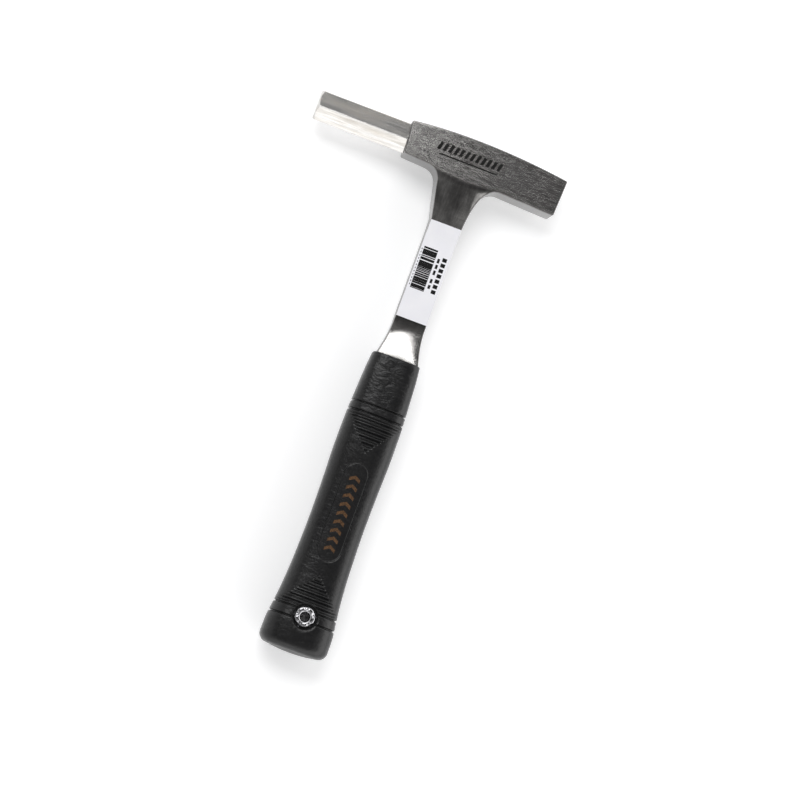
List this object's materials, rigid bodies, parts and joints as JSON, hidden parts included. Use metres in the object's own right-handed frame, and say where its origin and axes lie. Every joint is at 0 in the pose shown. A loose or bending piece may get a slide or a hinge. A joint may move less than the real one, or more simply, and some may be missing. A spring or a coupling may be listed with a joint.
{
  "type": "all-steel hammer with hexagonal striking bar",
  "caption": "All-steel hammer with a hexagonal striking bar, a blunt square face, a flat shank, a moulded grip and a hanging eyelet.",
  "frame": {"origin": "under the middle of the whole hammer, on the plane of the lowest point of its back", "axes": "+Y runs along the handle from the butt to the head, +X points to the blunt square face, -X to the hexagonal bar, +Z out of the front"},
  "size_m": [0.1466, 0.305, 0.0301],
  "materials": {
    "forged_steel": "brushed, clear coated",
    "ground_steel": "fine ground",
    "black_vinyl": "satin moulded",
    "bright_chrome": "polished",
    "label_paper": "matte printed"
  },
  "bodies": {
    "root": {"head_forging": "forged_steel", "hex_striking_bar": "ground_steel", "grip": "black_vinyl", "eyelet": "bright_chrome", "eyelet_washer": "bright_chrome", "shank_label": "label_paper"}
  },
  "joints": []
}
